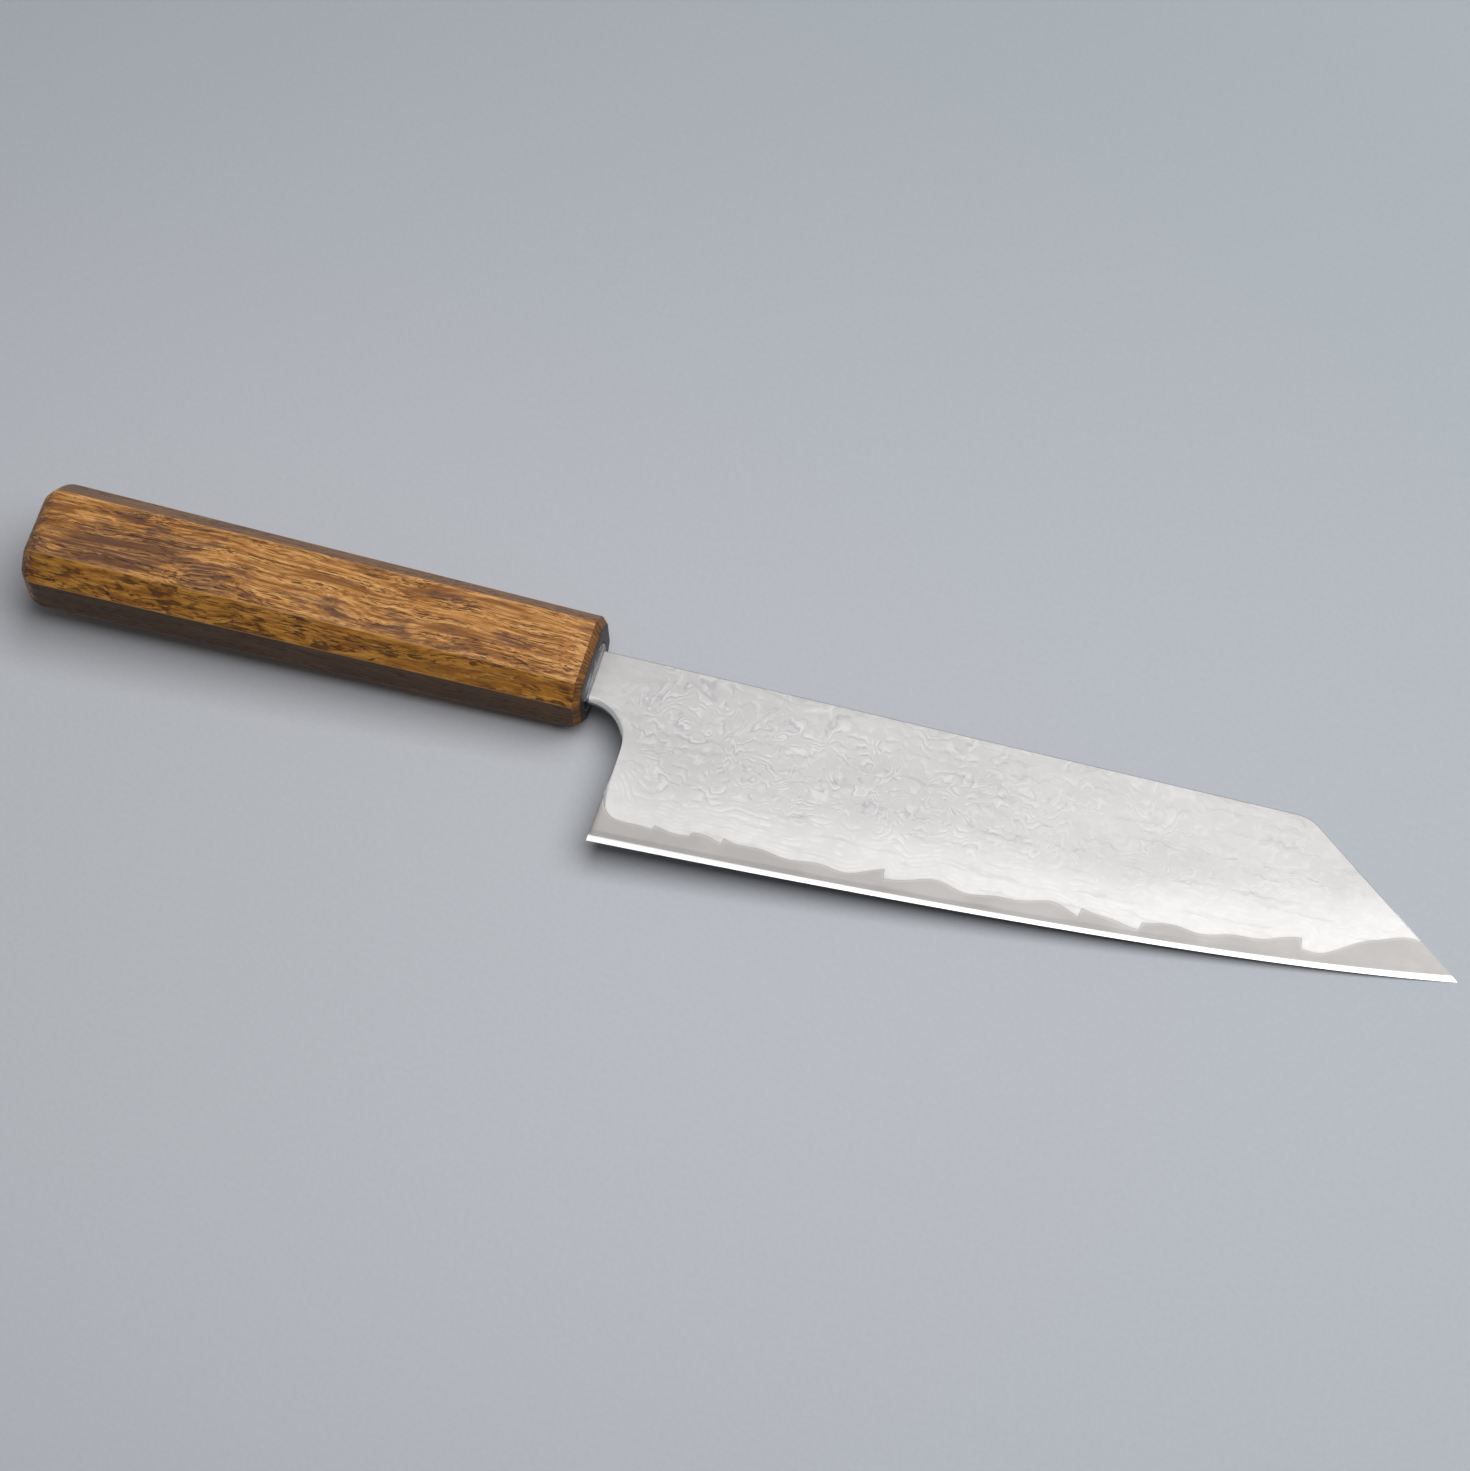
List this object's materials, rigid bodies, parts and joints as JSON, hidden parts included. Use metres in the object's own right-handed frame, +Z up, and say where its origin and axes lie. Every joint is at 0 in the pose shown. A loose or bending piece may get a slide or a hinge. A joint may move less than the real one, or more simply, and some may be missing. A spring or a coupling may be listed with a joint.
{
  "type": "bunka kitchen knife",
  "caption": "Kitchen knife with a tall laminated damascus blade, a clipped tip and an octagonal burnt oak handle.",
  "frame": {"origin": "centre of the bounding box at table level, with the knife lying at rest", "axes": "+X from the butt to the tip, +Y from the edge to the spine, +Z up; the blade dips about 2.6 degrees towards the tip"},
  "size_m": [0.3222, 0.052, 0.0244],
  "materials": {
    "core_steel": "satin hard core with a polished edge bevel",
    "cladding_left": "etched layered damascus, light grey satin",
    "cladding_right": "etched layered damascus, light grey satin",
    "handle_body": "burnt and lacquered oak, satin",
    "tang_resin": "cured grey resin, glossy"
  },
  "bodies": {
    "root": {"core_steel": "core_steel", "cladding_left": "cladding_left", "cladding_right": "cladding_right", "handle_body": "handle_body", "tang_resin": "tang_resin"}
  },
  "joints": []
}
